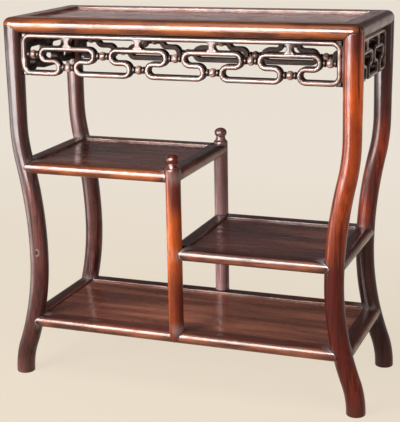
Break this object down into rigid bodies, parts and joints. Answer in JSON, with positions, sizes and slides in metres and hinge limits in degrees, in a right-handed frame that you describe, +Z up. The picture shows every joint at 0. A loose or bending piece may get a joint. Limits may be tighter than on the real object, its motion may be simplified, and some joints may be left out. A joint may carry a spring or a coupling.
{
  "type": "curio stand",
  "caption": "Free-standing hardwood display stand with a panelled top, stepped panelled shelves, round waisted legs, turned posts and pierced looped aprons.",
  "frame": {"origin": "on the floor under the middle of the stand", "axes": "+X to the right along the length, +Y towards the back, +Z up"},
  "size_m": [0.8268, 0.3376, 0.82],
  "materials": {
    "leg_wood": "polished",
    "rail_wood": "polished",
    "panel_wood": "polished",
    "carved_wood": "polished",
    "batten_wood": "oiled"
  },
  "bodies": {
    "root": {"back_apron": "carved_wood", "bottom_shelf_back_rail": "rail_wood", "bottom_shelf_batten_left": "batten_wood", "bottom_shelf_batten_right": "batten_wood", "bottom_shelf_front_rail": "rail_wood", "bottom_shelf_left_rail": "rail_wood", "bottom_shelf_panel": "panel_wood", "bottom_shelf_right_rail": "rail_wood", "front_apron": "carved_wood", "left_apron": "carved_wood", "left_shelf_back_rail": "rail_wood", "left_shelf_batten": "batten_wood", "left_shelf_front_rail": "rail_wood", "left_shelf_left_rail": "rail_wood", "left_shelf_panel": "panel_wood", "left_shelf_right_rail": "rail_wood", "leg_back_left": "leg_wood", "leg_back_right": "leg_wood", "leg_front_left": "leg_wood", "leg_front_right": "leg_wood", "post_back": "leg_wood", "post_front": "leg_wood", "right_apron": "carved_wood", "right_shelf_back_rail": "rail_wood", "right_shelf_batten": "batten_wood", "right_shelf_front_rail": "rail_wood", "right_shelf_left_rail": "rail_wood", "right_shelf_panel": "panel_wood", "right_shelf_right_rail": "rail_wood", "top_back_rail": "rail_wood", "top_batten_left": "batten_wood", "top_batten_right": "batten_wood", "top_front_rail": "rail_wood", "top_left_rail": "rail_wood", "top_panel": "panel_wood", "top_right_rail": "rail_wood"}
  },
  "joints": []
}
